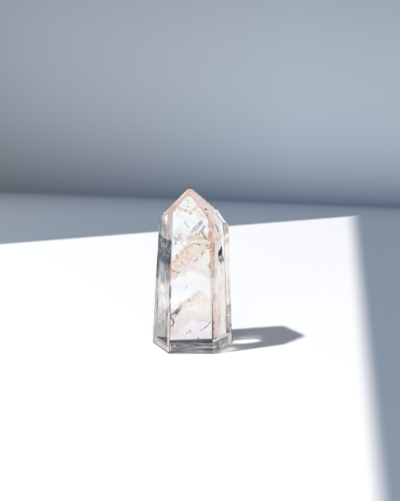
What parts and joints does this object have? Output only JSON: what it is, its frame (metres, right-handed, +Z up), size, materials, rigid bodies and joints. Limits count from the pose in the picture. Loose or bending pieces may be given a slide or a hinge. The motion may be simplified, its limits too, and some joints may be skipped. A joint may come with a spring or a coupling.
{
  "type": "amethyst tower",
  "caption": "Polished quartz point standing on a flat cut foot, six long faces tapering to a three-faced tip, with peach and lilac growth phantoms.",
  "frame": {"origin": "middle of the stone's bounding box, on the flat foot that it stands on", "axes": "+Z up along the stone's length to the tip, -Y out of the widest long face, +X to the viewer's right when facing that face"},
  "size_m": [0.0348, 0.023, 0.0711],
  "materials": {
    "quartz": "clear polished natural quartz with faint peach and lilac tints, healed fractures and small dark and rusty inclusions"
  },
  "bodies": {
    "root": {"crystal": "quartz"}
  },
  "joints": []
}
